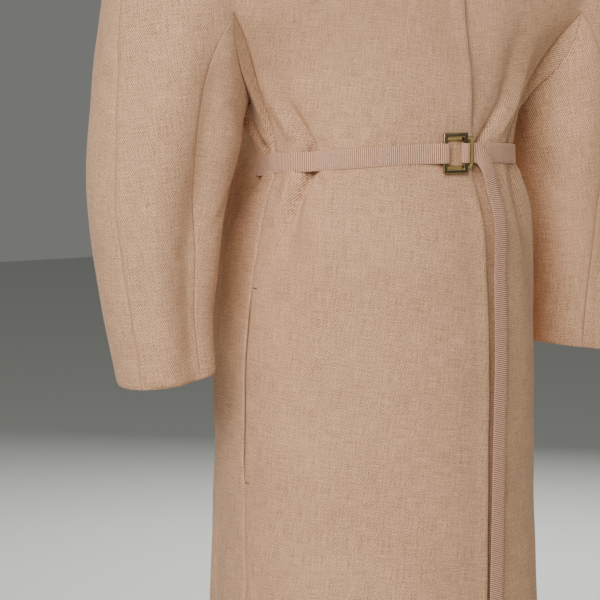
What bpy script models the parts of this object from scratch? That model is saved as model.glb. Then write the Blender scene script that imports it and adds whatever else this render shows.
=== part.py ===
"""Worn redingote of beige wool: kimono sleeves cut in one with the fronts and backs, a
two-panel underarm inset, a fly front and a narrow grosgrain belt with a brass buckle.

Metres, +Z up. The origin is midway between the side neck points, where the wearer's
shoulders hold the coat. The front faces -Y, and the wearer's right is -X.
"""

import math
from collections import namedtuple
from functools import lru_cache

import bpy
import numpy as np

for old in list(bpy.data.objects):
    bpy.data.objects.remove(old)

# Driving sizes
WALL = 0.002  # double-faced wool
SEAM = 0.0003  # space between two pieces at a seam
NARROWEST_TIP = 0.03  # limits how far a pointed tip is drawn back
HEM = -1.130
CUFF = -0.611
APEX = -0.249  # level of the points where sleeve, side and front part
BELT = -0.389  # middle of the belt at centre front
UNDERARM = -0.340
UNDERARM_X = 0.152  # how far out the deepest point under the arm lies
UNDERARM_ROUND = 0.25  # share of the seam that curves round below the arm
RIBBON_WIDTH = 0.020
RIBBON_THICK = 0.0009
TAIL_END = -0.955
BUCKLE_GIRTH = 0.013  # the buckle's middle, past centre front
BAR_THICK = 0.0024
RING_WIRE = 0.0019
NECK_WIDTH = 0.176
OVERLAP = 0.040  # right front's reach past centre front
UNDERLAP = 0.036  # left front's reach below it
LAP_STEP = 0.0038  # how far the left front is pressed in below the right one
AXIS_Y = -0.020  # the body's middle

# Half of the coat from centre front to the side-front seam: where the section starts on
# the middle line, where it meets the seam, and how far it has turned there, in degrees.
HalfSection = namedtuple("HalfSection", "level middle_y seam_x seam_y turn")
FRONT = [
    HalfSection(HEM, -0.153, 0.180, -0.020, 90),
    HalfSection(-0.85, -0.150, 0.171, -0.018, 90),
    HalfSection(-0.69, -0.150, 0.169, -0.012, 90),
    HalfSection(-0.57, -0.149, 0.167, -0.015, 90),
    HalfSection(-0.51, -0.145, 0.161, -0.017, 90),
    HalfSection(-0.450, -0.138, 0.153, -0.024, 90),
    HalfSection(-0.425, -0.124, 0.149, -0.027, 90),
    HalfSection(-0.404, -0.119, 0.142, -0.030, 90),
    HalfSection(-0.374, -0.119, 0.141, -0.030, 89),
    HalfSection(-0.345, -0.118, 0.151, -0.032, 82),
    HalfSection(-0.308, -0.114, 0.171, -0.041, 68),
    HalfSection(-0.279, -0.108, 0.189, -0.055, 56),
]
BACK = [
    HalfSection(HEM, 0.198, 0.166, 0.066, 66),
    HalfSection(-0.85, 0.184, 0.159, 0.060, 64),
    HalfSection(-0.69, 0.174, 0.158, 0.055, 64),
    HalfSection(-0.57, 0.166, 0.161, 0.050, 66),
    HalfSection(-0.51, 0.160, 0.159, 0.044, 68),
    HalfSection(-0.450, 0.152, 0.155, 0.030, 72),
    HalfSection(-0.404, 0.138, 0.142, 0.009, 80),
    HalfSection(-0.374, 0.132, 0.140, 0.008, 80),
    HalfSection(-0.345, 0.128, 0.148, 0.018, 74),
    HalfSection(-0.308, 0.124, 0.171, 0.042, 64),
    HalfSection(-0.279, 0.121, 0.189, 0.060, 54),
]
FRONT_AT_APEX = (-0.102, 42)  # middle_y and turn at the apex level
BACK_AT_APEX = (0.118, 42)

# Sleeve sections: centre, reach in four directions, and the angles of its three seams,
# from straight ahead (0) over the outer side (90) to the back (180).
SleeveSection = namedtuple(
    "SleeveSection",
    "level centre_x centre_y front outer back inner front_seam over_seam back_seam",
)
SLEEVE = [
    SleeveSection(CUFF, 0.2541, -0.006, 0.051, 0.050, 0.052, 0.051, -24, 58, 204),
    SleeveSection(-0.567, 0.2604, -0.005, 0.054, 0.052, 0.054, 0.052, -26, 56, 204),
    SleeveSection(-0.522, 0.2617, -0.003, 0.060, 0.059, 0.061, 0.059, -22, 59, 202),
    SleeveSection(-0.490, 0.2619, -0.002, 0.064, 0.063, 0.065, 0.063, -19, 62, 198),
    SleeveSection(-0.461, 0.2610, 0.000, 0.067, 0.066, 0.069, 0.067, -15, 64, 194),
    SleeveSection(-0.431, 0.2592, 0.000, 0.071, 0.071, 0.073, 0.071, -9, 66, 189),
    SleeveSection(-0.382, 0.2516, 0.000, 0.077, 0.077, 0.079, 0.079, 1, 67, 183),
    SleeveSection(-0.343, 0.2455, 0.000, 0.078, 0.079, 0.080, 0.080, 3, 71, 181),
    SleeveSection(-0.308, 0.2410, 0.000, 0.077, 0.080, 0.079, 0.077, 0, 72, 184),
    SleeveSection(-0.279, 0.2385, 0.000, 0.077, 0.079, 0.078, 0.072, -6, 74, 189),
    SleeveSection(APEX, 0.2360, 0.000, 0.076, 0.077, 0.077, 0.068, -18, 76, 197),
]
CUFF_TILT = 0.13  # rise of the cuff towards the body, per metre across
CUFF_TILT_REACH = 0.12

# Shoulder seam from the side neck point to the crown of the sleeve.
ShoulderPoint = namedtuple("ShoulderPoint", "along out y up")
SHOULDER = [
    ShoulderPoint(0.0, NECK_WIDTH / 2, 0.000, 0.000),
    ShoulderPoint(0.3, 0.146, -0.001, -0.018),
    ShoulderPoint(0.55, 0.193, -0.003, -0.040),
    ShoulderPoint(0.8, 0.240, -0.006, -0.078),
    ShoulderPoint(1.0, 0.272, -0.010, -0.130),
]
NECK_FRONT = (-0.078, -0.085)  # y and level of the neck's lowest point in front
NECK_BACK = (0.062, -0.014)

# Belt line: how far it sinks from centre front (0) to the side-front seam (1), the
# side-back seam (2) and centre back (3).
BELT_SINK_AT = (-1, 0, 1, 2, 3)
BELT_SINK = (0.010, 0.0, 0.010, 0.014, 0.0)
BELT_SINK_REACH = 0.13

# Largest folds: from their strong end to where they fade, by the angle around the body
# (negative on the wearer's right, 0 in front, 180 behind) and the level.
Fold = namedtuple("Fold", "angle_from level_from angle_to level_to width rise")
FOLDS = [
    Fold(-61, -0.414, -68, -0.540, 0.018, 0.0060),
    Fold(-74, -0.414, -80, -0.520, 0.014, -0.0050),
    Fold(-64, -0.374, -60, -0.300, 0.014, -0.0035),
    Fold(-100, -0.416, -88, -0.480, 0.016, 0.0045),
    Fold(30, -0.372, 60, -0.262, 0.015, -0.0060),
    Fold(44, -0.372, 70, -0.280, 0.015, 0.0040),
    Fold(54, -0.414, 62, -0.540, 0.014, -0.0055),
    Fold(68, -0.414, 74, -0.600, 0.018, 0.0070),
    Fold(100, -0.416, 90, -0.480, 0.016, 0.0045),
    Fold(-128, -1.300, -120, -0.480, 0.034, 0.0080),
    Fold(-158, -1.300, -150, -0.420, 0.040, -0.0070),
    Fold(150, -1.300, 156, -0.450, 0.036, -0.0080),
    Fold(124, -1.300, 118, -0.520, 0.032, 0.0080),
    Fold(-58, -1.300, -48, -0.620, 0.036, 0.0050),
    Fold(66, -1.300, 58, -0.600, 0.036, 0.0055),
    Fold(-146, -0.150, -134, -0.370, 0.022, -0.0060),
    Fold(146, -0.150, 136, -0.360, 0.022, -0.0065),
]

# Belt ribbons, in millimetres and degrees: the way along the coat's girth from centre
# front (positive on the wearer's left), the lift off the cloth, the drop below the belt
# line, and the turn from lying along the belt (0) to hanging down (90).
RibbonPoint = namedtuple("RibbonPoint", "girth lift drop turn")
RIGHT_LOOP = [
    RibbonPoint(-72, 1.2, 0, 0),
    RibbonPoint(-58, 1.2, 0, 0),
    RibbonPoint(-44, 1.2, 0, 0),
    RibbonPoint(-32, 1.3, 0, 0),
    RibbonPoint(-22, 2.0, 0, 0),
    RibbonPoint(-13, 3.4, 0, 0),
    RibbonPoint(-7, 5.6, 0, 0),
    RibbonPoint(-3.5, 7.2, 0, 0),
    RibbonPoint(0, 7.8, 0, 0),
    RibbonPoint(3, 7.3, 0, 0),
    RibbonPoint(5.2, 5.6, 0, 0),
    RibbonPoint(5.6, 3.6, 0, 0),
    RibbonPoint(4.5, 1.6, 0, 0),
    RibbonPoint(2, 0.75, 0, 0),
    RibbonPoint(-4, 0.7, 0, 0),
    RibbonPoint(-14, 0.7, 0, 0),
    RibbonPoint(-24, 0.7, 0, 0),
]
LEFT_LOOP = [
    RibbonPoint(60, 1.1, 0, 0),
    RibbonPoint(46, 0.8, 0, 0),
    RibbonPoint(38, 0.7, 0, 0),
    RibbonPoint(31, 0.7, 0, 0),
    RibbonPoint(27, 0.85, 0, 0),
    RibbonPoint(24, 1.7, 0, 0),
    RibbonPoint(22.2, 3.4, 0, 0),
    RibbonPoint(22.0, 5.4, 0, 0),
    RibbonPoint(22.8, 7.4, 0, 0),
    RibbonPoint(25, 8.5, 0, 0),
    RibbonPoint(27.8, 8.2, 0, 0),
    RibbonPoint(30, 6.6, 0, 0),
    RibbonPoint(31.3, 4.6, 0, 0),
    RibbonPoint(32.5, 3.0, 0, 0),
    RibbonPoint(34.5, 1.9, 0, 0),
    RibbonPoint(37, 1.85, 0, 0),
    RibbonPoint(39.5, 2.2, 0, 0),
    RibbonPoint(44, 3.5, 1, 4),
    RibbonPoint(50, 5.2, 6, 25),
    RibbonPoint(55.5, 6.4, 15, 52),
    RibbonPoint(59, 6.2, 28, 75),
    RibbonPoint(60.5, 5.2, 45, 88),
    RibbonPoint(60.5, 4.0, 70, 90),
    RibbonPoint(59.5, 3.2, 100, 90),
    RibbonPoint(58, 2.6, 140, 90),
]
STRAIGHT_STEP = 0.010  # between sections of a straight stretch of belt
STRAIGHT_LIFT = 1.2
TAIL_STEP = 0.036
TAIL_LIFT = 2.4
TAIL_DRIFT = 8  # how far the tail strays back towards centre front on its way down

# Rows of the cloth, and pieces across each panel.
BODY_LEVELS = [HEM, -1.04, -0.95, -0.87, -0.79, -0.72, -0.66, -0.60, -0.55, -0.505, -0.465]
BODY_LEVELS += [-0.430, -0.401]
INSET_LEVELS = [-0.377, -0.356, -0.335, -0.310, -0.288, -0.268, APEX]
SLEEVE_LEVELS = [CUFF, -0.595, -0.560, -0.525, -0.490, -0.455, -0.420]
FRONT_CELLS = 12
BACK_CELLS = 10
SLEEVE_CELLS = 6
INSET_CELLS = 8
SHOULDER_CELLS = 11
CROWN_ROWS = 7
APEX_SPREAD = 4  # columns on each side of the apex over which the crown's slope is evened


def smooth(at, knots, values):
    """Smooth curve through the knots, flat beyond them."""
    knots = np.asarray(knots, float)
    values = np.asarray(values, float)
    slopes = np.gradient(values, knots)
    at = np.clip(at, knots[0], knots[-1])
    i = np.clip(np.searchsorted(knots, at, side="right") - 1, 0, len(knots) - 2)
    step = knots[i + 1] - knots[i]
    t = (at - knots[i]) / step
    start = (2 * t**3 - 3 * t**2 + 1) * values[i] + (t**3 - 2 * t**2 + t) * step * slopes[i]
    end = (3 * t**2 - 2 * t**3) * values[i + 1] + (t**3 - t**2) * step * slopes[i + 1]
    return start + end


def read(table, name, level):
    """One column of a table at any level."""
    return smooth(level, [row.level for row in table], [getattr(row, name) for row in table])


def ease(t):
    """Soft step from 0 to 1."""
    t = np.clip(t, 0, 1)
    return t * t * (3 - 2 * t)


def sleeve_point(level, angle):
    """Point of a sleeve, on the side where x counts outwards."""
    turn = math.radians(angle)
    front, outer, back, inner = (read(SLEEVE, n, level) for n in SleeveSection._fields[3:7])
    reach = (front + outer + back + inner) / 4
    reach += (front - back) / 2 * math.cos(turn) + (outer - inner) / 2 * math.sin(turn)
    reach += (front + back - outer - inner) / 4 * math.cos(2 * turn)
    out = reach * math.sin(turn)
    tilt = CUFF_TILT * (1 - ease((level - CUFF) / CUFF_TILT_REACH))
    x = read(SLEEVE, "centre_x", level) + out
    y = read(SLEEVE, "centre_y", level) - reach * math.cos(turn)
    return np.array([x, y, level - tilt * out])


# The front and back meet the sleeve in one point on each side.
front_apex = sleeve_point(APEX, read(SLEEVE, "front_seam", APEX))
back_apex = sleeve_point(APEX, read(SLEEVE, "back_seam", APEX))
FRONT.append(HalfSection(APEX, FRONT_AT_APEX[0], front_apex[0], front_apex[1], FRONT_AT_APEX[1]))
BACK.append(HalfSection(APEX, BACK_AT_APEX[0], back_apex[0], back_apex[1], BACK_AT_APEX[1]))


def sink(level, place):
    """How far the cloth beside the belt follows the belt down."""
    near = max(0.0, 1 - ((level - BELT) / BELT_SINK_REACH) ** 2) ** 2
    return near * smooth(place, BELT_SINK_AT, BELT_SINK)


def half_point(table, level, share):
    """Point between the middle line (share 0) and the seam (share 1)."""
    turn = math.radians(read(table, "turn", level))
    middle, seam_x, seam_y = (read(table, n, level) for n in ("middle_y", "seam_x", "seam_y"))
    x = seam_x * math.sin(share * turn) / math.sin(turn)
    y = middle + (seam_y - middle) * (1 - math.cos(share * turn)) / (1 - math.cos(turn))
    place = share if table is FRONT else 3 - share
    return np.array([x, y, level - sink(level, place)])


def half_slope(table, level):
    """Direction in plan of a half section where it meets its seam."""
    step = half_point(table, level, 1) - half_point(table, level, 0.98)
    return step[:2] / np.linalg.norm(step[:2])


def side_point(level, share):
    """Point of the side panel, from its front seam (share 0) to its back seam (share 1)."""
    start, end = half_point(FRONT, level, 1), half_point(BACK, level, 1)
    width = np.linalg.norm(end[:2] - start[:2])
    leave, arrive = half_slope(FRONT, level) * width, -half_slope(BACK, level) * width
    t = share
    plan = (2 * t**3 - 3 * t**2 + 1) * start[:2] + (t**3 - 2 * t**2 + t) * leave
    plan = plan + (3 * t**2 - 2 * t**3) * end[:2] + (t**3 - t**2) * arrive
    return np.array([plan[0], plan[1], level - sink(level, 1 + share)])


def edge_share(level, reach):
    """Share of the front section at which x is -reach, past the middle line."""
    turn = math.radians(read(FRONT, "turn", level))
    seam_x = read(FRONT, "seam_x", level)
    return -math.asin(reach * math.sin(turn) / seam_x) / turn


def front_leg(reach):
    """Rows of the front from hem to apex, from its edge to the side-front seam."""
    rows = []
    for level in BODY_LEVELS + INSET_LEVELS:
        shares = np.linspace(edge_share(level, reach), 1, FRONT_CELLS + 1)
        rows.append([half_point(FRONT, level, share) for share in shares])
    return np.array(rows)


def back_leg():
    """Rows of the back from hem to apex, from the side-back seam to centre back."""
    shares = np.linspace(1, 0, BACK_CELLS + 1)
    levels = BODY_LEVELS + INSET_LEVELS
    return np.array([[half_point(BACK, level, share) for share in shares] for level in levels])


def sleeve_leg(levels, seam_from, seam_to, cells, turn_more=0):
    """Rows of a stretch of sleeve between two of its seams."""
    rows = []
    for level in levels:
        start, end = read(SLEEVE, seam_from, level), read(SLEEVE, seam_to, level) + turn_more
        rows.append([sleeve_point(level, angle) for angle in np.linspace(start, end, cells + 1)])
    return np.array(rows)


UNDERARM_SPREAD = math.hypot(1, UNDERARM_ROUND) - UNDERARM_ROUND


def underarm_curve():
    """Seam between side panel and under-sleeve, from the front apex under the arm and up."""
    points = []
    for turn in np.linspace(0, math.pi, INSET_CELLS + 1):
        apex = front_apex if turn < math.pi / 2 else back_apex
        spread = abs(math.cos(turn))
        out = (math.hypot(spread, UNDERARM_ROUND) - UNDERARM_ROUND) / UNDERARM_SPREAD
        points.append(
            [
                UNDERARM_X + (apex[0] - UNDERARM_X) * out,
                apex[1] * spread,
                APEX + (UNDERARM - APEX) * math.sin(turn),
            ]
        )
    return np.array(points)


def fill(foot, head, left, right):
    """Sheet inside four edges that meet at their ends. The bow of the left and right edges
    dies away quickly towards the middle, where the sheet is short."""
    rise = (left[:, 2] - left[0, 2]) / (left[-1, 2] - left[0, 2])
    v = rise[:, None, None]
    u = np.linspace(0, 1, len(foot))[None, :, None]
    straight = (1 - v) * foot[None] + v * head[None]
    bow_left = left[:, None] - straight[:, :1]
    bow_right = right[:, None] - straight[:, -1:]
    return straight + (1 - u) ** 3 * bow_left + u**3 * bow_right


def seam_rows(table):
    return np.array([half_point(table, level, 1) for level in INSET_LEVELS])


def side_panel():
    """Side panel: rows to the belt, then up to the underarm seam in two horns."""
    shares = np.linspace(0, 1, INSET_CELLS + 1)
    levels = BODY_LEVELS + INSET_LEVELS[:1]
    low = np.array([[side_point(level, share) for share in shares] for level in levels])
    high = fill(low[-1], underarm_curve(), seam_rows(FRONT), seam_rows(BACK))
    return [low, high]


def under_sleeve():
    """Under-sleeve: rows from the cuff to the elbow, then up to the underarm seam."""
    low = sleeve_leg(
        SLEEVE_LEVELS + INSET_LEVELS[:1], "back_seam", "front_seam", INSET_CELLS, 360
    )
    back_edge = sleeve_leg(INSET_LEVELS, "back_seam", "front_seam", 1, 360)[:, 0]
    front_edge = sleeve_leg(INSET_LEVELS, "back_seam", "front_seam", 1, 360)[:, 1]
    high = fill(low[-1], underarm_curve()[::-1], back_edge, front_edge)
    return [low, high]


def shoulder_point(along):
    knots = [row.along for row in SHOULDER]
    columns = ([getattr(row, name) for row in SHOULDER] for name in ("out", "y", "up"))
    return np.array([smooth(along, knots, values) for values in columns])


def neck_point(lowest, turn):
    """Point of the neckline, from its middle (0) to the side neck point (90 degrees)."""
    low_y, low_level = lowest
    turn = math.radians(turn)
    return np.array(
        [
            NECK_WIDTH / 2 * math.sin(turn),
            low_y * math.cos(turn),
            low_level * max(math.cos(turn), 0) ** 1.6,
        ]
    )


def top_edge(lowest, first_turn, neck_cells, way):
    """Neckline and shoulder seam with the direction in which the cloth reaches them; way is
    1 for a front, whose cloth goes on to the back, and -1 for a back."""
    points, directions = [], []
    for turn in np.linspace(first_turn, 90, neck_cells + 1):
        points.append(neck_point(lowest, turn))
        side = ease(abs(turn) / 90)
        directions.append([0, way * (0.30 + 0.70 * side), 1 - side])
    for along in np.linspace(0, 1, SHOULDER_CELLS + 1)[1:]:
        points.append(shoulder_point(along))
        up = shoulder_point(max(along - 0.02, 0)) - shoulder_point(min(along + 0.02, 1))
        up = up / np.linalg.norm(up)
        along_seam = ease(along) ** 1.5
        directions.append((1 - along_seam) * np.array([0, way, 0]) + along_seam * up)
    directions = np.array(directions)
    return np.array(points), directions / np.linalg.norm(directions, axis=1)[:, None]


def crown(row, row_below, points, directions, apex):
    """Cloth from the apex level up to the neckline and the shoulder seam. Beside the apex
    the slope passes evenly from the body's to the sleeve's."""
    slope = row - row_below
    slope = slope / np.linalg.norm(slope, axis=1)[:, None]
    first, last = apex - APEX_SPREAD, apex + APEX_SPREAD
    for column in range(first + 1, last):
        share = (column - first) / (last - first)
        slope[column] = (1 - share) * slope[first] + share * slope[last]
    chord = np.linalg.norm(points - row, axis=1)[:, None]
    rows = []
    for t in np.linspace(0, 1, CROWN_ROWS + 1):
        start = (2 * t**3 - 3 * t**2 + 1) * row + (t**3 - 2 * t**2 + t) * slope * chord
        end = (3 * t**2 - 2 * t**3) * points + (t**3 - t**2) * directions * chord
        rows.append(start + end)
    return np.array(rows)


def front_panel(reach):
    """Front with the front half of its sleeve."""
    body = front_leg(reach)
    sleeve = sleeve_leg(SLEEVE_LEVELS + INSET_LEVELS, "front_seam", "over_seam", SLEEVE_CELLS)
    neck_cells = FRONT_CELLS + SLEEVE_CELLS - SHOULDER_CELLS
    first_turn = -math.degrees(math.asin(reach / (NECK_WIDTH / 2)))
    points, directions = top_edge(NECK_FRONT, first_turn, neck_cells, 1)
    row = np.concatenate([body[-1], sleeve[-1][1:]])
    row_below = np.concatenate([body[-2], sleeve[-2][1:]])
    return [body, sleeve, crown(row, row_below, points, directions, FRONT_CELLS)]


def back_panel():
    """Back with the back half of its sleeve."""
    body = back_leg()
    sleeve = sleeve_leg(SLEEVE_LEVELS + INSET_LEVELS, "over_seam", "back_seam", SLEEVE_CELLS)
    neck_cells = BACK_CELLS + SLEEVE_CELLS - SHOULDER_CELLS
    points, directions = top_edge(NECK_BACK, 0, neck_cells, -1)
    row = np.concatenate([sleeve[-1], body[-1][1:]])
    row_below = np.concatenate([sleeve[-2], body[-2][1:]])
    return [body, sleeve, crown(row, row_below, points[::-1], directions[::-1], SLEEVE_CELLS)]


def folded(points):
    """Points of the body moved in and out by the folds."""
    x, y = points[:, 0], points[:, 1] - AXIS_Y
    reach = np.hypot(x, y)
    angle = np.degrees(np.arctan2(x, -y))
    move = np.zeros(len(points))
    for fold in FOLDS:
        t = (points[:, 2] - fold.level_from) / (fold.level_to - fold.level_from)
        line = fold.angle_from + (fold.angle_to - fold.angle_from) * t
        off = np.radians((angle - line + 180) % 360 - 180) * reach
        strength = ease(t / 0.12) * (1 - ease((t - 0.3) / 0.7))
        move += fold.rise * strength * np.exp(-((off / fold.width) ** 2))
    moved = points.copy()
    moved[:, 0] += move * x / reach
    moved[:, 1] += move * y / reach
    return moved


# A sheet of cloth: its outer points, its faces, and the points whose seam is an edge
# between two hollows, where each panel keeps its own direction.
Sheet = namedtuple("Sheet", "name points faces sharp lap")


def key(point):
    return tuple(np.round(point, 6) + 0.0)


def sheet(name, grids, side, has_folds, sharp=(), lap=False):
    """One sheet from grids that share their edge points."""
    number, points, faces = {}, [], []
    for grid in grids:
        rows, columns = grid.shape[:2]
        ids = np.zeros((rows, columns), int)
        for place in np.ndindex(rows, columns):
            corner = key(grid[place])
            if corner not in number:
                number[corner] = len(points)
                points.append(grid[place])
            ids[place] = number[corner]
        for r, c in np.ndindex(rows - 1, columns - 1):
            faces.append((ids[r, c], ids[r, c + 1], ids[r + 1, c + 1], ids[r + 1, c]))
    mirror = np.array([side, 1, 1])
    points = np.array(points) * mirror
    if side < 0:
        faces = [face[::-1] for face in faces]
    sharp_ids = {number[key(point)] for point in sharp}
    if has_folds:
        points = folded(points)
    return Sheet(name, points, faces, sharp_ids, lap)


def seam_normals(sheets):
    """Outward direction of every point, shared by the panels that meet there."""
    shared, own = {}, {}
    for s in sheets:
        for face in s.faces:
            a, b, c, d = (s.points[i] for i in face)
            area = np.cross(c - a, d - b)
            for i in face:
                place = (s.name, i) if i in s.sharp else key(s.points[i])
                shared[place] = shared.get(place, 0) + area
    for s in sheets:
        rows = []
        for i, point in enumerate(s.points):
            area = shared[(s.name, i) if i in s.sharp else key(point)]
            rows.append(area / np.linalg.norm(area))
        own[s.name] = np.array(rows)
    return own


def edges_of(s):
    """Edges on the rim of a sheet, each in its face's direction."""
    seen = {}
    for face in s.faces:
        for i, j in zip(face, face[1:] + face[:1]):
            seen[(i, j)] = True
    return [(i, j) for i, j in seen if (j, i) not in seen]


def drawn_in(s, normals, rim):
    """Points with the rim drawn back by half the space at a seam."""
    toward = {}
    for i, j in rim:
        way = np.cross(normals[i] + normals[j], s.points[j] - s.points[i])
        way = way / np.linalg.norm(way)
        toward.setdefault(i, []).append(way)
        toward.setdefault(j, []).append(way)
    points = s.points.copy()
    for i, ways in toward.items():
        a, b = ways[0], ways[-1]
        points[i] += (a + b) / max(1 + np.dot(a, b), NARROWEST_TIP) * SEAM / 2
    return points


def wall(s, normals):
    """Closed wall of cloth behind a sheet. Both panels at a seam split its rim alike, so that
    their rims stay parallel where the seam twists."""
    rim = edges_of(s)
    outer = drawn_in(s, normals, rim)
    if s.lap:
        across = s.points[:, 0]
        outer = outer - normals * (LAP_STEP * (1 - ease((across - 0.044) / 0.04)))[:, None]
    count = len(outer)
    points = np.concatenate([outer, outer - normals * WALL])
    faces = [tuple(f) for f in s.faces] + [tuple(i + count for i in f[::-1]) for f in s.faces]
    for i, j in rim:
        far_i, far_j = i + count, j + count
        if key(s.points[i]) < key(s.points[j]):
            faces += [(j, i, far_j), (i, far_i, far_j)]
        else:
            faces += [(j, i, far_i), (j, far_i, far_j)]
    return points, faces


def material(name, colour, roughness, metallic=0.0):
    finish = bpy.data.materials.new(name)
    finish.use_nodes = True
    shader = finish.node_tree.nodes["Principled BSDF"]
    shader.inputs["Base Color"].default_value = (*colour, 1)
    shader.inputs["Roughness"].default_value = roughness
    shader.inputs["Metallic"].default_value = metallic
    return finish


def place(name, points, faces, finish, smooth_angle=40):
    """New object of this mesh, with its material, shaded smooth but for its sharp edges."""
    mesh = bpy.data.meshes.new(name)
    mesh.from_pydata([tuple(map(float, p)) for p in points], [], [list(map(int, f)) for f in faces])
    mesh.materials.append(finish)
    mesh.shade_smooth()
    mesh.set_sharp_from_angle(angle=math.radians(smooth_angle))
    piece = bpy.data.objects.new(name, mesh)
    bpy.context.scene.collection.objects.link(piece)
    return piece


# Wool panels, the wearer's right (-1) and left (1)
SIDES = (("right", -1, OVERLAP), ("left", 1, UNDERLAP))
sheets = []
for word, side, reach in SIDES:
    seam = underarm_curve()[1:-1]
    sheets.append(sheet(f"front_{word}", front_panel(reach), side, True, lap=side > 0))
    sheets.append(sheet(f"back_{word}", back_panel(), side, True))
    sheets.append(sheet(f"side_{word}", side_panel(), side, True, sharp=seam))
    sheets.append(sheet(f"undersleeve_{word}", under_sleeve(), side, True, sharp=seam))
wool = {
    "front": material("wool_front", (0.50, 0.36, 0.24), 0.9),
    "back": material("wool_back", (0.48, 0.35, 0.23), 0.9),
    "side": material("wool_side", (0.45, 0.32, 0.21), 0.9),
    "undersleeve": material("wool_undersleeve", (0.44, 0.31, 0.20), 0.9),
}
cloth_normals = seam_normals(sheets)
for s in sheets:
    place(s.name, *wall(s, cloth_normals[s.name]), wool[s.name.split("_")[0]])


@lru_cache(maxsize=None)
def outline(level):
    """Half of the coat's outline from centre front to the side-back seam, and its girth."""
    points = [half_point(FRONT, level, share) for share in np.linspace(0, 1, 49)]
    points += [side_point(level, share) for share in np.linspace(0, 1, 25)[1:]]
    points = np.array(points)
    steps = np.linalg.norm(np.diff(points[:, :2], axis=0), axis=1)
    return points, np.concatenate([[0], np.cumsum(steps)])


def skin(girth, level, lift):
    """Point lifted off the cloth at a girth from centre front and a level."""
    points, run = outline(round(level, 5))
    side, at = math.copysign(1, girth), abs(girth)
    reach = 0.003
    behind, here, ahead = (
        np.array([np.interp(abs(g), run, points[:, k]) for k in range(3)])
        for g in (at - reach, at, at + reach)
    )
    if at < reach:
        behind[0] = -behind[0]
    along = (ahead - behind)[:2]
    along = along / np.linalg.norm(along)
    here[:2] += lift * np.array([along[1], -along[0]])
    here[0] *= side
    return folded(here[None])[0]


def ribbon_path(stations):
    """Middle line of a ribbon through its stations, with a section halfway between two."""
    count = len(stations)
    at = np.linspace(0, count - 1, 2 * count - 1)
    columns = [smooth(at, range(count), column) for column in zip(*stations)]
    return [RibbonPoint(*row) for row in zip(*columns)]


def ribbon(stations):
    """Closed strip of ribbon through its stations."""
    upper, lower = [], []
    for girth, lift, drop, turn in np.array(stations):
        turn = math.radians(turn)
        across = RIBBON_WIDTH / 2 * math.sin(turn)
        height = RIBBON_WIDTH / 2 * math.cos(turn)
        girth, lift, level = girth / 1000, lift / 1000, BELT - drop / 1000
        upper.append(skin(girth + across, level + height, lift))
        lower.append(skin(girth - across, level - height, lift))
    upper, lower = np.array(upper), np.array(lower)
    along = np.gradient((upper + lower) / 2, axis=0)
    lift_way = np.cross(along, upper - lower)
    lift_way = lift_way / np.linalg.norm(lift_way, axis=1)[:, None] * RIBBON_THICK / 2
    corners = [upper + lift_way, lower + lift_way, lower - lift_way, upper - lift_way]
    points = np.stack(corners, axis=1).reshape(-1, 3)
    faces = [(3, 2, 1, 0)]
    for section in range(0, len(points) - 4, 4):
        for i in range(4):
            j = (i + 1) % 4
            faces.append((section + i, section + j, section + 4 + j, section + 4 + i))
    last = len(points) - 4
    faces.append((last, last + 1, last + 2, last + 3))
    return points, faces


# Grosgrain belt: a folded end round the buckle's bar, and a threaded end with its tail
grosgrain = material("grosgrain", (0.42, 0.28, 0.17), 0.7)
seam_girth = outline(BELT)[1][-1] * 1000 - 0.5
straight = np.arange(seam_girth, 70, -STRAIGHT_STEP * 1000)
right_stations = [RibbonPoint(-girth, STRAIGHT_LIFT, 0, 0) for girth in straight[:-1]]
place("belt_right", *ribbon(right_stations + ribbon_path(RIGHT_LOOP)), grosgrain)
left_stations = [RibbonPoint(girth, STRAIGHT_LIFT, 0, 0) for girth in straight]
tail_start, tail_end = LEFT_LOOP[-1], (BELT - TAIL_END) * 1000
tail_drops = np.arange(tail_start.drop + TAIL_STEP * 1000, tail_end, TAIL_STEP * 1000)
tail = []
for drop in [*tail_drops, tail_end]:
    share = (drop - tail_start.drop) / (tail_end - tail_start.drop)
    tail.append(RibbonPoint(tail_start.girth - TAIL_DRIFT * share, TAIL_LIFT, drop, 90))
place("belt_left", *ribbon(left_stations + ribbon_path(LEFT_LOOP) + tail), grosgrain)

# Brass buckle: a rectangular frame in front and a ring of round wire behind it, both flat
# and tilted a little with the belt
Flat = namedtuple("Flat", "left right half_height lift_left lift_right")
FRAME = Flat(-0.015, 0.015, 0.0205, 0.0047, 0.00587)
FRAME_BAR = 0.0045
FRAME_ROUNDING = 0.0008
RING = Flat(-0.013, 0.0235, 0.0165, 0.0022, 0.0027)
RING_CORNER = 0.005


def on_buckle(flat, across, up, lift):
    """Point of a flat buckle piece: across from its middle, up, and out of its plane."""
    share = (across - flat.left) / (flat.right - flat.left)
    lift = lift + flat.lift_left + (flat.lift_right - flat.lift_left) * share
    middle = skin(BUCKLE_GIRTH, BELT, 0)
    along = skin(BUCKLE_GIRTH + 0.004, BELT, 0) - skin(BUCKLE_GIRTH - 0.004, BELT, 0)
    along = np.array([along[0], along[1], 0]) / math.hypot(along[0], along[1])
    out = np.array([along[1], -along[0], 0])
    return middle + along * across + out * lift + np.array([0, 0, up])


def buckle_frame():
    """Four mitred bars."""
    points, faces = [], []
    for inset, lift in ((0, -1), (0, 1), (FRAME_BAR, 1), (FRAME_BAR, -1)):
        left, right = FRAME.left + inset, FRAME.right - inset
        high = FRAME.half_height - inset
        for across, up in ((left, -high), (right, -high), (right, high), (left, high)):
            points.append(on_buckle(FRAME, across, up, lift * BAR_THICK / 2))
    for ring in range(4):
        for i in range(4):
            j, beyond = (i + 1) % 4, (ring + 1) % 4 * 4
            faces.append((ring * 4 + i, ring * 4 + j, beyond + j, beyond + i))
    return points, faces


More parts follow.
